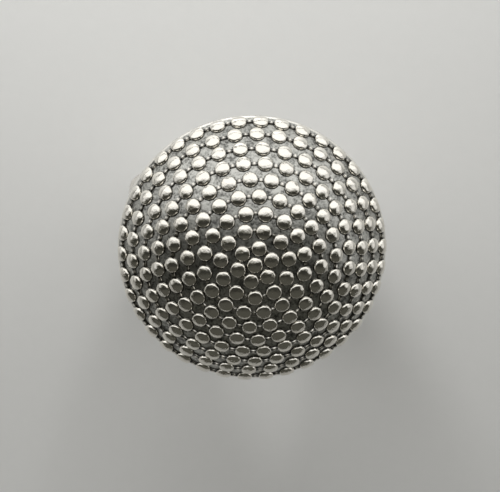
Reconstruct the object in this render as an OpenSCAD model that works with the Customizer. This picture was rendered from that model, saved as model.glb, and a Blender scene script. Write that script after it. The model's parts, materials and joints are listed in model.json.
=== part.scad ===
// Finger ring with a domed round head that is covered in rings of flattened beaded wire.
// The head is a hollow dome closed by a flat plate. The band is soldered to the plate.
// Origin at the middle of the finger hole. Z runs up through the dome, Y along the finger.

/* [Head] */
// Diameter of the head across its straight side wall
head_d = 23; // [19:0.5:28]
// Height of the dome's ground above the top edge of the side wall
dome_rise = 6.3; // [4.5:0.1:8]
// Thickness of the domed sheet
sheet_t = 0.8; // [0.5:0.05:1.2]
// Height of the straight side wall under the dome
wall_h = 0.5; // [0.2:0.05:1.5]

/* [Beaded rings] */
// Diameter of one ball before its top is flattened
ball_d = 1.28; // [0.8:0.02:1.3]
// Height of a ball's centre above the dome's ground
ball_lift = 0.02; // [0:0.01:0.2]
// Height of a ball's flattened top above the dome's ground
ball_top = 0.42; // [0.3:0.01:0.5]
// Radius of the shallow crown on a ball's flattened top
crown_r = 1.33; // [0.9:0.01:3]
// Diameter of the wire that joins the balls of one ring
wire_d = 0.36; // [0.2:0.02:0.5]
// Distance from the side wall in to the centres of the rim balls
rim_inset = 0.39; // [0.3:0.01:0.6]
// Number of balls in each ring from the crown outwards, the rim ring last
row_counts = [6, 11, 16, 20, 24, 28, 31, 34, 38];
// Turn of each ring's first ball from the X axis, in degrees
row_turns = [24, 16, -5, 3, -5, 0.5, -0.5, 0, -1];

/* [Back plate] */
// Thickness of the plate that closes the dome
plate_t = 0.7; // [0.5:0.05:1.2]
// Step in from the side wall to the plate's edge
plate_step = 0.1; // [0:0.05:0.4]
// Diameter of the vent hole in the plate
vent_d = 1.2; // [0.8:0.1:2]
// Distance from the head's axis to the vent hole
vent_offset = 7; // [5.5:0.25:8]

/* [Band] */
// Diameter of the finger hole
bore_d = 18.2; // [15:0.1:22]
// Width of the band along the finger
band_w = 5.5; // [3.5:0.1:8]
// Thickness of the band at the middle of its width
band_t = 1.8; // [1.2:0.05:2.5]
// Radius that rounds the band's two outer edges
band_round = 0.8; // [0.3:0.05:1]
// Metal left over the finger hole where the band is ground flat under the plate
seat_t = 0.6; // [0.4:0.05:0.9]

/* [Hidden] */
$fn = 96;
ball_fn = 24;
crown_fn = 48;
ground_fn = 192;
bore_r = bore_d / 2;
head_r = head_d / 2;

// Heights, from the finger hole up
seat_z = bore_r + seat_t;
wall_z = seat_z + plate_t;
rim_z = wall_z + wall_h;

// The dome's ground is part of a sphere
dome_r = (head_r * head_r + dome_rise * dome_rise) / (2 * dome_rise);
dome_z = rim_z + dome_rise - dome_r;
inner_r = dome_r - sheet_t;

// The ball centres lie on a larger sphere, at even steps from the crown to the rim
ball_sphere_r = dome_r + ball_lift;
rim_row = len(row_counts);
row_step = asin((head_r - rim_inset) / ball_sphere_r) / rim_row;

band_r = bore_r + band_t;
past = 1;

// Half section of a dome of radius r over a straight wall, from the axis out to the wall
module dome_section(r, wall_r) {
    intersection() {
        union() {
            translate([0, dome_z])
                circle(r = r);
            translate([0, wall_z])
                square([wall_r, rim_z - wall_z]);
        }
        translate([0, wall_z])
            square([wall_r, dome_rise + wall_h + past]);
    }
}

module dome_shell() {
    color([0.36, 0.35, 0.37])
        rotate_extrude()
            difference() {
                dome_section(dome_r, head_r);
                dome_section(inner_r, head_r - sheet_t);
            }
}

// One ball with a flattened top, at its ring's step from the crown
module ball(row, turn) {
    translate([0, 0, dome_z])
        rotate([0, row * row_step, turn])
            intersection() {
                translate([0, 0, ball_sphere_r])
                    sphere(d = ball_d, $fn = ball_fn);
                translate([0, 0, dome_r + ball_top - crown_r])
                    sphere(r = crown_r, $fn = crown_fn);
            }
}

// The wire through the balls of one ring
module ring_wire(row) {
    rotate_extrude()
        translate([dome_r * sin(row * row_step), dome_z + dome_r * cos(row * row_step)])
            circle(d = wire_d, $fn = ball_fn);
}

// One ring of beaded wire, hollowed underneath to seat on the dome's ground
module beaded_ring(row) {
    count = row_counts[row - 1];
    color([0.85, 0.84, 0.8])
        difference() {
            union() {
                ring_wire(row);
                for (i = [0 : count - 1])
                    ball(row, row_turns[row - 1] + i * 360 / count);
            }
            translate([0, 0, dome_z])
                sphere(r = dome_r, $fn = ground_fn);
        }
}

// The single ball in the middle of the crown
module crown_ball() {
    color([0.85, 0.84, 0.8])
        difference() {
            ball(0, 0);
            translate([0, 0, dome_z])
                sphere(r = dome_r, $fn = ground_fn);
        }
}

module beaded_ring_1() beaded_ring(1);
module beaded_ring_2() beaded_ring(2);
module beaded_ring_3() beaded_ring(3);
module beaded_ring_4() beaded_ring(4);
module beaded_ring_5() beaded_ring(5);
module beaded_ring_6() beaded_ring(6);
module beaded_ring_7() beaded_ring(7);
module beaded_ring_8() beaded_ring(8);

// The outermost ring is filed flush with the side wall
module rim_ring() {
    intersection() {
        beaded_ring(rim_row);
        translate([0, 0, wall_z])
            cylinder(r = head_r, h = dome_rise + wall_h);
    }
}

module back_plate() {
    color([0.72, 0.71, 0.68])
        translate([0, 0, seat_z])
            difference() {
                cylinder(r = head_r - plate_step, h = plate_t);
                translate([0, vent_offset, -past])
                    cylinder(d = vent_d, h = plate_t + 2 * past);
            }
}

// Half section of the band, with its two outer edges rounded
module band_section() {
    flat_w = band_w - 2 * band_round;
    translate([bore_r, -band_w / 2])
        square([band_t - band_round, band_w]);
    translate([bore_r, -flat_w / 2])
        square([band_t, flat_w]);
    for (side = [-1, 1])
        translate([band_r - band_round, side * flat_w / 2])
            circle(r = band_round);
}

module band() {
    color([0.78, 0.77, 0.74])
        difference() {
            rotate([90, 0, 0])
                rotate_extrude()
                    band_section();
            translate([-band_r, -band_w, seat_z])
                cube([2 * band_r, 2 * band_w, band_t]);
        }
}

dome_shell();
crown_ball();
beaded_ring_1();
beaded_ring_2();
beaded_ring_3();
beaded_ring_4();
beaded_ring_5();
beaded_ring_6();
beaded_ring_7();
beaded_ring_8();
rim_ring();
back_plate();
band();
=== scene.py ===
import json
import math
import random

import bpy
from mathutils import Euler, Matrix, Vector


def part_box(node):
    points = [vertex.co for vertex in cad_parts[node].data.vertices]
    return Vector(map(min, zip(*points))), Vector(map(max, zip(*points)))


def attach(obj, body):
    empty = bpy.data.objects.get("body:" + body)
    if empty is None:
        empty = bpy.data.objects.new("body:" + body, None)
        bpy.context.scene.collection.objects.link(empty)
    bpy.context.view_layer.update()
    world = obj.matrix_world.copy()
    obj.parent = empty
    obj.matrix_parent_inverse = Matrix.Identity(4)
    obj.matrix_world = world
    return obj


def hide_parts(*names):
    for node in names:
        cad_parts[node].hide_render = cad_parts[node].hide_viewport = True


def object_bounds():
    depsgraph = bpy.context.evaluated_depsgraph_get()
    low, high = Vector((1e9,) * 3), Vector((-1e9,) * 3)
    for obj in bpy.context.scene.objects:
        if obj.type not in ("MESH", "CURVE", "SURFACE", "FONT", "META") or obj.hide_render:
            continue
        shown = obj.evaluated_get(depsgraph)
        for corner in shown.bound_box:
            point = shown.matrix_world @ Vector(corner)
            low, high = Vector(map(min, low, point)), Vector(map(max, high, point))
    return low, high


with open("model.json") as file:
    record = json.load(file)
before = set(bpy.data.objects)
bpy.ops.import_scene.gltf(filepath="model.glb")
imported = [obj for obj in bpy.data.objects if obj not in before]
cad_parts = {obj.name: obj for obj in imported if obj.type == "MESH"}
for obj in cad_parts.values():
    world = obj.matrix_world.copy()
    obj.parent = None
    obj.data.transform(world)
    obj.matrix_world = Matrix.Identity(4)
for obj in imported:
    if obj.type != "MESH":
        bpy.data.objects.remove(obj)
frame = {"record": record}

bl_info = {
    "name": "Beaded dome ring",
    "version": (1, 0, 0),
    "blender": (4, 5, 0),
    "location": "View3D > Sidebar > Dome ring",
    "description": "Makes the beaded rings, dome, back plate and band of a domed finger ring",
    "category": "Object",
}

CAD_BOX = [list(corner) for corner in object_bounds()]
BODY = "root"
RING_NAMES = [f"beaded_ring_{number}" for number in range(1, 9)]
RIM_NAME = "rim_ring"
ROW_COUNTS = (6, 11, 16, 20, 24, 28, 31, 34, 38)
ROW_TURNS = (24, 16, -5, 3, -5, 0.5, -0.5, 0, -1)
MERGE = 2e-7
SMALL = 1e-5


def bore_radius():
    """Radius of the finger hole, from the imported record's mount."""
    for mount in frame["record"]["mounts"]:
        if mount["name"] == "finger_bore":
            return mount["dims"]["r_mm"] / 1000
    raise RuntimeError("the record has no finger_bore mount")


class RingSizes(bpy.types.PropertyGroup):
    """Sizes of the ring's own details, in metres."""

    wall_height: bpy.props.FloatProperty(
        name="Side wall height",
        description="Height of the straight side wall under the dome",
        default=0.0005,
        min=0.0002,
        unit="LENGTH",
    )
    sheet: bpy.props.FloatProperty(
        name="Sheet thickness",
        description="Thickness of the domed sheet",
        default=0.0008,
        min=0.0005,
        unit="LENGTH",
    )
    ball_diameter: bpy.props.FloatProperty(
        name="Ball diameter",
        description="Diameter of one ball before its top is flattened",
        default=0.00137,
        min=0.0008,
        unit="LENGTH",
    )
    ball_lift: bpy.props.FloatProperty(
        name="Ball lift",
        description="Height of a ball's centre above the dome's ground",
        default=0.00002,
        min=0.0,
        unit="LENGTH",
    )
    ball_top: bpy.props.FloatProperty(
        name="Ball top",
        description="Height of a ball's flattened top above the dome's ground",
        default=0.00042,
        min=0.0003,
        unit="LENGTH",
    )
    crown_radius: bpy.props.FloatProperty(
        name="Crown radius",
        description="Radius of the shallow crown on a ball's flattened top",
        default=0.00118,
        min=0.0009,
        unit="LENGTH",
    )
    # the foot is painted with the dark patina colour, for patina and painted shade
    foot_width: bpy.props.FloatProperty(
        name="Foot width",
        description="Width of the dark hollow round the foot of a ball",
        default=0.00008,
        min=0.00003,
        unit="LENGTH",
    )
    wire_diameter: bpy.props.FloatProperty(
        name="Wire diameter",
        description="Diameter of the wire that joins the balls of one ring",
        default=0.00036,
        min=0.0002,
        unit="LENGTH",
    )
    rim_inset: bpy.props.FloatProperty(
        name="Rim inset",
        description="Distance from the side wall in to the centres of the rim balls",
        default=0.00039,
        min=0.0003,
        unit="LENGTH",
    )
    unevenness: bpy.props.FloatProperty(
        name="Unevenness",
        description="How far one ball may sit from its even place",
        default=0.00003,
        min=0.0,
        unit="LENGTH",
    )
    vent_diameter: bpy.props.FloatProperty(
        name="Vent diameter",
        description="Diameter of the vent hole in the back plate",
        default=0.0012,
        min=0.0008,
        unit="LENGTH",
    )
    vent_offset: bpy.props.FloatProperty(
        name="Vent offset",
        description="Distance from the head's axis to the vent hole",
        default=0.007,
        min=0.0055,
        unit="LENGTH",
    )
    band_round: bpy.props.FloatProperty(
        name="Band rounding",
        description="Radius that rounds the band's two outer edges",
        default=0.0008,
        min=0.0003,
        unit="LENGTH",
    )
    edge_break: bpy.props.FloatProperty(
        name="Broken edge",
        description="Width of the small bevel on the sharp edges",
        default=0.00008,
        min=0.0,
        unit="LENGTH",
    )


class RingFinish(bpy.types.PropertyGroup):
    """Colours of the ring's metal and of the floor."""

    silver: bpy.props.FloatVectorProperty(
        name="Silver",
        description="Colour of the polished silver",
        subtype="COLOR",
        default=(0.96, 0.94, 0.89),
        min=0.0,
        max=1.0,
    )
    # the dark patina colour also paints shade round the balls' feet and on the wire next to each ball
    patina_dark: bpy.props.FloatVectorProperty(
        name="Dark patina",
        description="Colour of the oxidised metal in the deepest hollows",
        subtype="COLOR",
        default=(0.09, 0.09, 0.085),
        min=0.0,
        max=1.0,
    )
    patina_light: bpy.props.FloatVectorProperty(
        name="Light patina",
        description="Colour of the oxidised metal where it is worn",
        subtype="COLOR",
        default=(0.60, 0.60, 0.57),
        min=0.0,
        max=1.0,
    )
    floor: bpy.props.FloatVectorProperty(
        name="Floor",
        description="Colour of the floor",
        subtype="COLOR",
        default=(0.66, 0.66, 0.645),
        min=0.0,
        max=1.0,
    )


class StageSettings(bpy.types.PropertyGroup):
    """Where the camera stands and how the lamps shine."""

    camera_distance: bpy.props.FloatProperty(
        name="Camera distance",
        description="Distance from the middle of the dome's sphere to the camera",
        default=0.2215,
        unit="LENGTH",
    )
    camera_tilt: bpy.props.FloatProperty(
        name="Camera tilt",
        description="How far the dome's axis leans towards the bottom of the picture",
        default=math.radians(12.61),
        subtype="ANGLE",
    )
    camera_lean: bpy.props.FloatProperty(
        name="Camera lean",
        description="How far the dome's axis leans towards the right of the picture",
        default=math.radians(2.13),
        subtype="ANGLE",
    )
    camera_roll: bpy.props.FloatProperty(
        name="Camera roll",
        description="Turn of the band's X axis in the picture",
        default=math.radians(-7.2),
        subtype="ANGLE",
    )
    dome_right: bpy.props.FloatProperty(
        name="Dome right",
        description="Place of the dome's sphere to the right of the picture's middle",
        default=-0.00009,
        unit="LENGTH",
    )
    dome_up: bpy.props.FloatProperty(
        name="Dome up",
        description="Place of the dome's sphere above the picture's middle",
        default=0.001394,
        unit="LENGTH",
    )
    lens: bpy.props.FloatProperty(
        name="Lens",
        description="Focal length of the camera in millimetres",
        default=180.0,
    )
    softbox_strength: bpy.props.FloatProperty(
        name="Softbox strength",
        description="Brightness of the large softbox, where 1 shows as white",
        default=1.0,
    )


def sizes():
    return bpy.context.scene.ring_sizes


def finish():
    return bpy.context.scene.ring_finish


def head():
    """The head's main places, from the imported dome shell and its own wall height."""
    low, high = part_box("dome_shell")
    radius = high[0]
    wall_z = low[2]
    rim_z = wall_z + sizes().wall_height
    rise = high[2] - rim_z
    dome_r = (radius * radius + rise * rise) / (2 * rise)
    return {
        "radius": radius,
        "wall_z": wall_z,
        "rim_z": rim_z,
        "dome_r": dome_r,
        "centre": Vector((0, 0, high[2] - dome_r)),
    }


def row_step():
    """Angle from one ring of balls to the next, at the middle of the dome's sphere."""
    dome = head()
    ball_sphere = dome["dome_r"] + sizes().ball_lift
    return math.asin((dome["radius"] - sizes().rim_inset) / ball_sphere) / len(ROW_COUNTS)


# ---------------------------------------------------------------- modelling by hand


def deselect_all():
    if bpy.context.object and bpy.context.object.mode != "OBJECT":
        bpy.ops.object.mode_set(mode="OBJECT")
    bpy.ops.object.select_all(action="DESELECT")


def pick(piece):
    """Makes piece the only selected and active object."""
    deselect_all()
    piece.select_set(True)
    bpy.context.view_layer.objects.active = piece


def edit(piece):
    pick(piece)
    bpy.ops.object.mode_set(mode="EDIT")


def leave_edit():
    bpy.ops.object.mode_set(mode="OBJECT")


def arc(centre, radius, start, end, steps):
    """Points of a circle's arc, angles in radians from the first axis."""
    return [
        (
            centre[0] + radius * math.cos(start + (end - start) * step / steps),
            centre[1] + radius * math.sin(start + (end - start) * step / steps),
        )
        for step in range(steps + 1)
    ]


def turned(name, profile, steps, axis="Z", closed=False):
    """A piece turned as on a lathe: the profile's (radius, height) points spun round an axis."""
    def place(point):
        if axis == "Y":
            return Vector((point[0], point[1], 0))
        return Vector((point[0], 0, point[1]))

    deselect_all()
    bpy.ops.mesh.primitive_plane_add(size=SMALL, location=(0, 0, 0))
    piece = bpy.context.object
    piece.name = name
    piece.data.name = name
    edit(piece)
    bpy.ops.mesh.select_all(action="SELECT")
    bpy.ops.mesh.merge(type="CENTER")
    bpy.ops.transform.translate(value=place(profile[0]))
    for before, after in zip(profile, profile[1:]):
        step = place(after) - place(before)
        bpy.ops.mesh.extrude_region_move(TRANSFORM_OT_translate={"value": step})
    bpy.ops.mesh.select_all(action="SELECT")
    if closed:
        bpy.ops.mesh.edge_face_add()
        bpy.ops.mesh.delete(type="ONLY_FACE")
        bpy.ops.mesh.select_all(action="SELECT")
    spin_axis = (0, 1, 0) if axis == "Y" else (0, 0, 1)
    bpy.ops.mesh.spin(steps=steps, angle=math.tau, center=(0, 0, 0), axis=spin_axis)
    bpy.ops.mesh.select_all(action="SELECT")
    bpy.ops.mesh.remove_doubles(threshold=MERGE)
    bpy.ops.mesh.normals_make_consistent(inside=False)
    leave_edit()
    return piece


def cut_away(piece, point, normal):
    """Saws off what lies beyond a plane and closes the cut."""
    edit(piece)
    bpy.ops.mesh.select_all(action="SELECT")
    bpy.ops.mesh.bisect(
        plane_co=point, plane_no=normal, use_fill=True, clear_outer=True, threshold=MERGE
    )
    leave_edit()


def smooth(piece, angle):
    pick(piece)
    bpy.ops.object.shade_smooth_by_angle(angle=math.radians(angle))


def copy_of(piece, name, matrix):
    """A copy with its own mesh, put in place in its mesh."""
    made = piece.copy()
    made.data = piece.data.copy()
    made.name = name
    made.data.name = name
    made.data.transform(matrix)
    bpy.context.scene.collection.objects.link(made)
    return made


def joined(pieces, name):
    deselect_all()
    for piece in pieces:
        piece.select_set(True)
    bpy.context.view_layer.objects.active = pieces[0]
    bpy.ops.object.join()
    made = bpy.context.object
    made.name = name
    made.data.name = name
    return made


def remove(piece):
    bpy.data.objects.remove(piece, do_unlink=True)


def finish_piece(piece, node, material):
    """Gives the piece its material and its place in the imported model."""
    piece.data.materials.clear()
    piece.data.materials.append(material)
    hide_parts(node)
    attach(piece, BODY)


# ---------------------------------------------------------------- materials


class Nodes:
    """Short names for building one material's node tree."""

    def __init__(self, name):
        self.material = bpy.data.materials.new(name)
        self.material.use_nodes = True
        self.tree = self.material.node_tree
        self.shader = self.tree.nodes["Principled BSDF"]
        self.place = self.add("ShaderNodeTexCoord").outputs["Object"]

    def add(self, kind, **settings):
        node = self.tree.nodes.new(kind)
        for key, value in settings.items():
            setattr(node, key, value)
        return node

    def link(self, source, target):
        self.tree.links.new(source, target)

    def noise(self, scale, detail=3.0, roughness=0.55, place=None):
        node = self.add("ShaderNodeTexNoise")
        node.inputs["Scale"].default_value = scale
        node.inputs["Detail"].default_value = detail
        node.inputs["Roughness"].default_value = roughness
        self.link(place or self.place, node.inputs["Vector"])
        return node.outputs["Fac"]

    def stretched(self, scale, turn=(0, 0, 0)):
        node = self.add("ShaderNodeMapping")
        node.inputs["Scale"].default_value = scale
        node.inputs["Rotation"].default_value = turn
        self.link(self.place, node.inputs["Vector"])
        return node.outputs["Vector"]

    def ramp(self, source, low, high, to_low=0.0, to_high=1.0, kind="SMOOTHSTEP"):
        node = self.add("ShaderNodeMapRange", interpolation_type=kind)
        node.inputs["From Min"].default_value = low
        node.inputs["From Max"].default_value = high
        node.inputs["To Min"].default_value = to_low
        node.inputs["To Max"].default_value = to_high
        self.link(source, node.inputs["Value"])
        return node.outputs["Result"]

    def math(self, operation, first, second):
        node = self.add("ShaderNodeMath", operation=operation)
        for socket, value in zip(node.inputs, (first, second)):
            if isinstance(value, (int, float)):
                socket.default_value = value
            else:
                self.link(value, socket)
        return node.outputs["Value"]

    def mix(self, factor, first, second):
        """Mixes two colours, each a tuple or a socket."""
        node = self.add("ShaderNodeMix", data_type="RGBA")
        self.link(factor, node.inputs["Factor"])
        for socket, value in ((node.inputs[6], first), (node.inputs[7], second)):
            if isinstance(value, bpy.types.NodeSocket):
                self.link(value, socket)
            else:
                socket.default_value = (*value, 1.0)
        return node.outputs[2]

    def distance_from(self, point):
        """Distance from a point of the object, in metres."""
        node = self.add("ShaderNodeVectorMath", operation="DISTANCE")
        self.link(self.place, node.inputs[0])
        node.inputs[1].default_value = point
        return node.outputs["Value"]

    def radius_from_axis(self):
        """Distance from the head's own axis, in metres."""
        split = self.add("ShaderNodeSeparateXYZ")
        self.link(self.place, split.inputs["Vector"])
        across = self.math("MULTIPLY", split.outputs["X"], split.outputs["X"])
        along = self.math("MULTIPLY", split.outputs["Y"], split.outputs["Y"])
        return self.math("SQRT", self.math("ADD", across, along), 0.0)

    def bump(self, sources):
        """Chains height sources, each (socket, strength, distance in metres)."""
        normal = None
        for height, strength, depth in sources:
            node = self.add("ShaderNodeBump")
            node.inputs["Strength"].default_value = strength
            node.inputs["Distance"].default_value = depth
            self.link(height, node.inputs["Height"])
            if normal:
                self.link(normal, node.inputs["Normal"])
            normal = node.outputs["Normal"]
        self.link(normal, self.shader.inputs["Normal"])

    def set(self, **values):
        for key, value in values.items():
            socket = self.shader.inputs[key.replace("_", " ")]
            if isinstance(value, bpy.types.NodeSocket):
                self.link(value, socket)
            elif isinstance(value, (int, float)):
                socket.default_value = value
            else:
                socket.default_value = (*value, 1.0)


def ball_silver():
    """Polished silver on the balls, with dark patina and painted shade round their feet."""
    dome = head()
    nodes = Nodes("polished_silver")
    height = nodes.math("SUBTRACT", nodes.distance_from(dome["centre"]), dome["dome_r"])
    speckle = nodes.ramp(nodes.noise(4200, 2.0), 0.3, 0.7, -0.000025, 0.000025)
    # painted shade with patina: close to the ground each ball turns to the dark patina colour, for the
    # patina and the shade in the crease round its foot
    clear = nodes.ramp(nodes.math("ADD", height, speckle), 0.000015, 0.00007)
    patina_and_shade = nodes.add("ShaderNodeAttribute", attribute_name="patina_and_shade").outputs["Fac"]
    outside_patina_and_shade = nodes.math("SUBTRACT", 1.0, nodes.ramp(patina_and_shade, 0.35, 0.85))
    filed = nodes.ramp(nodes.radius_from_axis(), dome["radius"] - 0.00004, dome["radius"] - 0.00002)
    # where this mask is off, the dark patina colour paints patina and shade on the ball feet and on the wire
    # next to each ball
    silver_shows = nodes.math("MAXIMUM", nodes.math("MULTIPLY", clear, outside_patina_and_shade), filed)
    worn = nodes.mix(nodes.noise(900, 3.0), finish().silver, (0.90, 0.86, 0.78))
    nodes.set(
        Base_Color=nodes.mix(silver_shows, finish().patina_dark, worn),
        Metallic=1.0,
        Roughness=nodes.ramp(nodes.noise(1500, 4.0), 0.3, 0.7, 0.09, 0.17),
    )
    nodes.bump([
        (nodes.noise(3200, 2.0), 0.55, 0.00005),
        (nodes.noise(1200, 1.5), 0.80, 0.00010),
    ])
    return nodes.material


def oxidised_ground():
    """Oxidised silver between the balls, filed bright along the outer edge and wall."""
    dome = head()
    nodes = Nodes("oxidised_ground")
    cloudy = nodes.noise(1300, 4.0, 0.6)
    fine = nodes.noise(5200, 3.0, 0.6)
    worn = nodes.ramp(nodes.math("ADD", nodes.math("MULTIPLY", cloudy, 0.6),
                                 nodes.math("MULTIPLY", fine, 0.4)), 0.30, 0.62)
    patina = nodes.mix(worn, finish().patina_dark, finish().patina_light)
    edge = nodes.ramp(nodes.radius_from_axis(), dome["radius"] - 0.00014, dome["radius"] - 0.00006)
    nodes.set(
        Base_Color=nodes.mix(edge, patina, finish().silver),
        Metallic=1.0,
        Roughness=nodes.ramp(edge, 0.0, 1.0, 0.30, 0.16),
    )
    nodes.bump([
        (cloudy, 0.5, 0.00008),
        (fine, 0.35, 0.00003),
    ])
    return nodes.material


def satin_silver(name, lines):
    """Satin silver with fine filing lines along one direction."""
    nodes = Nodes(name)
    scratches = nodes.noise(1.0, 4.0, 0.65, nodes.stretched(lines))
    cloudy = nodes.noise(260, 3.0)
    nodes.set(
        Base_Color=nodes.mix(cloudy, (0.86, 0.83, 0.77), (0.72, 0.69, 0.64)),
        Metallic=1.0,
        Roughness=nodes.ramp(scratches, 0.3, 0.7, 0.20, 0.36),
    )
    nodes.bump([
        (scratches, 0.25, 0.00002),
        (nodes.noise(500, 2.0), 0.15, 0.00006),
    ])
    return nodes.material


def plain_floor():
    """Pale matt floor with a faint paper grain."""
    nodes = Nodes("pale_floor")
    grain = nodes.noise(900, 4.0)
    colour = finish().floor
    dusk = tuple(channel * 0.97 for channel in colour)
    paper = nodes.mix(grain, colour, dusk)
    nodes.set(Base_Color=paper, Roughness=0.75)
    nodes.bump([(grain, 0.1, 0.0001)])
    return nodes.material


# ---------------------------------------------------------------- pieces


def raised(dome, radius, height):
    """A profile point at a radius from the crown's axis and a height above the ground."""
    reach = dome["dome_r"] + height
    return (radius, dome["centre"].z + math.sqrt(reach * reach - radius * radius))


def make_ball(name):
    """One flattened ball at the dome's crown, with a low foot painted dark for patina and shade."""
    dome = head()
    size = sizes()
    ball_r = size.ball_diameter / 2
    crown_centre = size.ball_top - size.crown_radius
    gap = size.ball_lift - crown_centre
    # the crown's sphere and the ball's sphere meet at this height over the ball's centre
    meet = (size.crown_radius ** 2 - ball_r ** 2 - gap ** 2) / (2 * gap)
    edge = math.sqrt(ball_r ** 2 - meet ** 2)
    crown = 0.85 * edge
    bend = 0.95 * edge
    shoulder = 1.022 * edge
    profile = [
        raised(dome, 0.0, size.ball_top),
        raised(dome, crown, crown_centre + math.sqrt(size.crown_radius ** 2 - crown ** 2)),
        raised(dome, bend, crown_centre + math.sqrt(size.crown_radius ** 2 - bend ** 2)),
        raised(dome, shoulder, size.ball_lift + math.sqrt(ball_r ** 2 - shoulder ** 2)),
        raised(dome, ball_r + 0.00001, 0.000012),
        raised(dome, ball_r + size.foot_width, -0.00001),
    ]
    ball = turned(name, profile + [(0.0, profile[-1][1])], 12)
    # painted shade with patina: the foot's vertices are marked to take the dark patina colour
    patina_and_shade = ball.data.attributes.new("patina_and_shade", "FLOAT", "POINT")
    for vertex, value in zip(ball.data.vertices, patina_and_shade.data):
        value.value = 0.85 if vertex.co.xy.length > 0.99 * ball_r else 0.0
    return ball


def to_row(row, turn, dome, size=1.0, slide=0.0):
    """Matrix that takes a ball from the crown to its place in a row."""
    top = Vector((0, 0, dome["dome_r"]))
    grow = Matrix.Translation(top) @ Matrix.Scale(size, 4) @ Matrix.Translation(-top)
    lean = Matrix.Rotation(row * row_step() + slide, 4, "Y")
    swing = Matrix.Rotation(turn, 4, "Z")
    middle = Matrix.Translation(dome["centre"])
    return middle @ swing @ lean @ grow @ middle.inverted()


def make_wire(row):
    """The flattened wire that joins one ring's balls, painted dark close to each ball for patina and shade.
    """
    dome = head()
    angle = row * row_step()
    half = sizes().wire_diameter / 2
    top = sizes().wire_diameter / 2
    across = Vector((math.cos(angle), -math.sin(angle)))
    outward = Vector((math.sin(angle), math.cos(angle)))
    middle = Vector((0, dome["centre"].z)) + outward * dome["dome_r"]
    section = [
        (-half, -0.00003), (-half * 0.95, top * 0.40), (-half * 0.62, top * 0.88), (0.0, top * 0.97),
        (half * 0.62, top * 0.88), (half * 0.95, top * 0.40), (half, -0.00003),
    ]
    profile = [tuple(middle + across * side + outward * height) for side, height in section]
    steps = 6
    count = ROW_COUNTS[row - 1]
    wire = turned("wire", profile, count * steps, closed=True)
    # painted shade with patina: the wire is marked darker the nearer it runs to a ball
    patina_and_shade = wire.data.attributes.new("patina_and_shade", "FLOAT", "POINT")
    for vertex, value in zip(wire.data.vertices, patina_and_shade.data):
        place = math.atan2(vertex.co.y, vertex.co.x) / math.tau * count
        away = abs(place - round(place)) * 2
        value.value = min(1.0, 0.42 + (1.0 - away) * 1.8)
    wire.data.transform(Matrix.Rotation(math.radians(ROW_TURNS[row - 1]), 4, "Z"))
    return wire


def ring_turns(row, chance):
    """Each ball's turn in one ring, a little uneven."""
    dome = head()
    count = ROW_COUNTS[row - 1]
    reach = sizes().unevenness / (dome["dome_r"] * math.sin(row * row_step()))
    start = math.radians(ROW_TURNS[row - 1])
    return [start + math.tau * place / count + chance.uniform(-reach, reach) for place in range(count)]


class DOMERING_OT_crown_and_rings(bpy.types.Operator):
    """Make the crown ball and the eight full rings of flattened balls"""

    bl_idname = "dome_ring.crown_and_rings"
    bl_label = "Crown ball and beaded rings"

    def execute(self, context):
        dome = head()
        silver = ball_silver()
        chance = random.Random(7)
        slide = sizes().unevenness / dome["dome_r"]
        ball = make_ball("crown_ball_piece")
        for row, name in enumerate(RING_NAMES, start=1):
            pieces = [make_wire(row)]
            for turn in ring_turns(row, chance):
                place = to_row(row, turn, dome, chance.uniform(0.975, 1.0), chance.uniform(-slide, slide))
                pieces.append(copy_of(ball, "ball", place))
            ring = joined(pieces, name + "_piece")
            smooth(ring, 45)
            finish_piece(ring, name, silver)
        smooth(ball, 45)
        finish_piece(ball, "crown_ball", silver)
        return {"FINISHED"}


class DOMERING_OT_rim_ring(bpy.types.Operator):
    """Make the rim ring, whose balls are filed flush with the side wall"""

    bl_idname = "dome_ring.rim_ring"
    bl_label = "Rim ring"

    def execute(self, context):
        dome = head()
        row = len(ROW_COUNTS)
        chance = random.Random(11)
        first = make_ball("rim_ball")
        first.data.transform(to_row(row, 0.0, dome))
        # filed just inside the wall, so that no flat stands proud of the round wall
        flush = dome["radius"] - 0.000012
        cut_away(first, (flush, 0, 0), (1, 0, 0))
        cut_away(first, (0, 0, dome["wall_z"] + SMALL), (0, 0, -1))
        pieces = [make_wire(row)]
        for turn in ring_turns(row, chance):
            pieces.append(copy_of(first, "ball", Matrix.Rotation(turn, 4, "Z")))
        remove(first)
        ring = joined(pieces, RIM_NAME + "_piece")
        smooth(ring, 45)
        finish_piece(ring, RIM_NAME, ball_silver())
        return {"FINISHED"}


class DOMERING_OT_dome_shell(bpy.types.Operator):
    """Make the hollow dome with its straight side wall"""

    bl_idname = "dome_ring.dome_shell"
    bl_label = "Dome shell"

    def execute(self, context):
        dome = head()
        size = sizes()
        lift = dome["centre"].z
        half = math.asin(dome["radius"] / dome["dome_r"])
        inner_r = dome["dome_r"] - size.sheet
        inner_wall = dome["radius"] - size.sheet
        inner_half = math.asin(inner_wall / inner_r)
        up = math.pi / 2
        outside = arc((0, lift), dome["dome_r"], up, up - half, 40)
        inside = arc((0, lift), inner_r, up - inner_half, up, 24)
        outside[0] = (0.0, outside[0][1])
        inside[-1] = (0.0, inside[-1][1])
        break_edge = size.edge_break
        corner = outside.pop()
        profile = outside + [
            (corner[0] - break_edge, corner[1] + break_edge * 1.2),
            (corner[0], corner[1] - break_edge * 0.4),
            (dome["radius"], dome["wall_z"]),
            (inner_wall, dome["wall_z"]),
        ] + inside
        shell = turned("dome_shell_piece", profile, 192)
        smooth(shell, 25)
        finish_piece(shell, "dome_shell", oxidised_ground())
        return {"FINISHED"}


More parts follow.
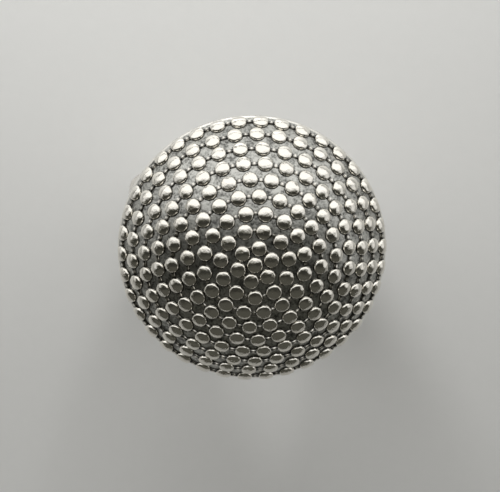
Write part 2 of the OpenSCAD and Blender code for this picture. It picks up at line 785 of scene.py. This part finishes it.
class DOMERING_OT_back_plate(bpy.types.Operator):
    """Make the back plate with its vent hole"""

    bl_idname = "dome_ring.back_plate"
    bl_label = "Back plate"

    def execute(self, context):
        size = sizes()
        low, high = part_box("back_plate")
        radius = high[0]
        edge = size.edge_break
        profile = [
            (0.0, high[2]),
            (radius - edge * 0.4, high[2]),
            (radius, high[2] - edge * 0.4),
            (radius, low[2] + edge * 1.5),
            (radius - edge * 0.45, low[2] + edge * 0.45),
            (radius - edge * 1.5, low[2]),
            (0.0, low[2]),
        ]
        plate = turned("back_plate_piece", profile, 192)
        deselect_all()
        bpy.ops.mesh.primitive_cylinder_add(
            vertices=48,
            radius=size.vent_diameter / 2,
            depth=(high[2] - low[2]) * 3,
            location=(0, size.vent_offset, (low[2] + high[2]) / 2),
        )
        drill = bpy.context.object
        pick(plate)
        hole = plate.modifiers.new("vent", "BOOLEAN")
        hole.operation = "DIFFERENCE"
        hole.object = drill
        hole.solver = "EXACT"
        bpy.ops.object.modifier_apply(modifier="vent")
        remove(drill)
        smooth(plate, 50)
        finish_piece(plate, "back_plate", satin_silver("satin_plate", (120, 5200, 120)))
        return {"FINISHED"}


class DOMERING_OT_band(bpy.types.Operator):
    """Make the finger band, ground flat where it meets the back plate"""

    bl_idname = "dome_ring.band"
    bl_label = "Finger band"

    def execute(self, context):
        size = sizes()
        low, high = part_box("band")
        outer = -low[2]
        inner = bore_radius()
        half_w = high[1]
        rounding = size.band_round
        inside_break = size.edge_break * 1.5
        quarter = math.pi / 2
        profile = (
            [(inner, -half_w + inside_break), (inner + inside_break * 0.3, -half_w + inside_break * 0.3)]
            + [(inner + inside_break, -half_w)]
            + arc((outer - rounding, -half_w + rounding), rounding, -quarter, 0, 8)
            + arc((outer - rounding, half_w - rounding), rounding, 0, quarter, 8)
            + [(inner + inside_break, half_w)]
            + [(inner + inside_break * 0.3, half_w - inside_break * 0.3), (inner, half_w - inside_break)]
        )
        band = turned("band_piece", profile, 160, axis="Y", closed=True)
        cut_away(band, (0, 0, high[2]), (0, 0, 1))
        smooth(band, 30)
        finish_piece(band, "band", satin_silver("worn_band", (400, 2600, 400)))
        return {"FINISHED"}


# ---------------------------------------------------------------- stage


def camera_axes():
    """Right, up and back of the camera in the ring's frame."""
    stage = bpy.context.scene.ring_stage
    turn = (
        Matrix.Rotation(stage.camera_tilt, 3, "X")
        @ Matrix.Rotation(stage.camera_lean, 3, "Y")
        @ Matrix.Rotation(stage.camera_roll, 3, "Z")
    )
    return turn[0].copy(), turn[1].copy(), turn[2].copy()


def aim(thing, location, target, up):
    """Points a lamp's or camera's -Z at target, with its Y towards up."""
    back = (location - target).normalized()
    right = up.cross(back).normalized()
    over = back.cross(right)
    turn = Matrix((right, over, back)).transposed()
    thing.matrix_world = Matrix.Translation(location) @ turn.to_4x4()


def add_softbox(name, direction, distance, width, height, radiance, target):
    """A rectangular lamp whose face shows at a given brightness in a mirror."""
    lamp = bpy.data.lights.new(name, "AREA")
    lamp.shape = "RECTANGLE"
    lamp.size = width
    lamp.size_y = height
    lamp.energy = radiance * math.pi * width * height
    box = bpy.data.objects.new(name, lamp)
    bpy.context.scene.collection.objects.link(box)
    aim(box, target + direction.normalized() * distance, target, camera_axes()[2])
    return box


def soft_studio(right, up):
    """Soft light all round: pale above the picture and at its right, dim near the camera."""
    world = bpy.data.worlds.new("studio")
    world.use_nodes = True
    tree = world.node_tree
    background = tree.nodes["Background"]
    place = tree.nodes.new("ShaderNodeTexCoord").outputs["Generated"]

    def along(axis):
        node = tree.nodes.new("ShaderNodeVectorMath")
        node.operation = "DOT_PRODUCT"
        tree.links.new(place, node.inputs[0])
        node.inputs[1].default_value = axis
        return node.outputs["Value"]

    def ramp(source, low, high, to_high):
        node = tree.nodes.new("ShaderNodeMapRange")
        node.interpolation_type = "SMOOTHSTEP"
        node.inputs["From Min"].default_value = low
        node.inputs["From Max"].default_value = high
        node.inputs["To Max"].default_value = to_high
        tree.links.new(source, node.inputs["Value"])
        return node.outputs["Result"]

    def mathed(operation, first, second):
        node = tree.nodes.new("ShaderNodeMath")
        node.operation = operation
        for socket, value in zip(node.inputs, (first, second)):
            if isinstance(value, float):
                socket.default_value = value
            else:
                tree.links.new(value, socket)
        return node.outputs["Value"]

    above = ramp(along(up), -0.12, 0.50, 1.14)
    at_right = mathed("MULTIPLY", ramp(along(right), 0.78, 0.93, 0.70), ramp(along(up), -0.45, -0.20, 1.0))
    at_left = mathed("MULTIPLY", ramp(along(right * -1), 0.86, 0.98, 0.65), ramp(along(up), -0.40, 0.0, 1.0))
    below = ramp(along(up * -1), 0.25, 0.75, 0.04)
    sides = mathed("MAXIMUM", at_right, at_left)
    light = mathed("ADD", mathed("MAXIMUM", mathed("MAXIMUM", above, below), sides), 0.03)
    tree.links.new(light, background.inputs["Strength"])
    tone = tree.nodes.new("ShaderNodeMix")
    tone.data_type = "RGBA"
    tree.links.new(ramp(light, 0.03, 0.5, 1.0), tone.inputs["Factor"])
    tone.inputs[6].default_value = (1.0, 0.98, 0.82, 1.0)
    tone.inputs[7].default_value = (1.0, 0.995, 0.97, 1.0)
    tree.links.new(tone.outputs[2], background.inputs["Color"])
    return world


class DOMERING_OT_stage(bpy.types.Operator):
    """Make the floor, the lamps and the camera"""

    bl_idname = "dome_ring.stage"
    bl_label = "Stage"

    def execute(self, context):
        scene = context.scene
        stage = scene.ring_stage
        dome = head()
        right, up, back = camera_axes()

        floor_z = CAD_BOX[0][2]
        floor = turned("floor", [(0.0, floor_z), (0.1, floor_z), (0.5, floor_z), (2.5, floor_z)], 96)
        floor.data.materials.append(plain_floor())

        lens = bpy.data.cameras.new("camera")
        lens.lens = stage.lens
        lens.sensor_width = 36.0
        lens.clip_start = 0.01
        lens.clip_end = 10.0
        camera = bpy.data.objects.new("camera", lens)
        scene.collection.objects.link(camera)
        eye = (
            dome["centre"]
            - right * stage.dome_right
            - up * stage.dome_up
            + back * stage.camera_distance
        )
        turn = Matrix((right, up, back)).transposed()
        camera.matrix_world = Matrix.Translation(eye) @ turn.to_4x4()
        scene.camera = camera

        strength = stage.softbox_strength
        middle = dome["centre"]

        def toward(side, height, depth):
            return right * side + up * height + back * depth

        lamp = add_softbox(
            "floor_lamp",
            toward(-0.1, 1.0, 0.0) * 0.12 + Vector((0, 0, 0.085)),
            0.15, 0.10, 0.06,
            strength * 13.5,
            Vector((0, 0, floor_z)),
        )
        # it only lights the floor, which is what gives the ring its shadow
        lamp.visible_glossy = False
        scene.world = soft_studio(right, up)
        scene.view_settings.view_transform = "Standard"
        return {"FINISHED"}


class DOMERING_PT_panel(bpy.types.Panel):
    """Sizes, finish and pieces of the ring"""

    bl_idname = "DOMERING_PT_panel"
    bl_label = "Dome ring"
    bl_space_type = "VIEW_3D"
    bl_region_type = "UI"
    bl_category = "Dome ring"

    def draw(self, context):
        layout = self.layout
        for group in (context.scene.ring_sizes, context.scene.ring_finish, context.scene.ring_stage):
            box = layout.box()
            for name in group.__annotations__:
                box.prop(group, name)
        for operator in OPERATORS:
            layout.operator(operator.bl_idname)


OPERATORS = (
    DOMERING_OT_crown_and_rings,
    DOMERING_OT_rim_ring,
    DOMERING_OT_dome_shell,
    DOMERING_OT_back_plate,
    DOMERING_OT_band,
    DOMERING_OT_stage,
)
CLASSES = (RingSizes, RingFinish, StageSettings, *OPERATORS, DOMERING_PT_panel)


def register():
    for cls in CLASSES:
        bpy.utils.register_class(cls)
    bpy.types.Scene.ring_sizes = bpy.props.PointerProperty(type=RingSizes)
    bpy.types.Scene.ring_finish = bpy.props.PointerProperty(type=RingFinish)
    bpy.types.Scene.ring_stage = bpy.props.PointerProperty(type=StageSettings)


def unregister():
    del bpy.types.Scene.ring_stage
    del bpy.types.Scene.ring_finish
    del bpy.types.Scene.ring_sizes
    for cls in reversed(CLASSES):
        bpy.utils.unregister_class(cls)


def main():
    register()
    bpy.ops.dome_ring.crown_and_rings()
    bpy.ops.dome_ring.rim_ring()
    bpy.ops.dome_ring.dome_shell()
    bpy.ops.dome_ring.back_plate()
    bpy.ops.dome_ring.band()
    bpy.ops.dome_ring.stage()


if __name__ == "__main__":
    main()
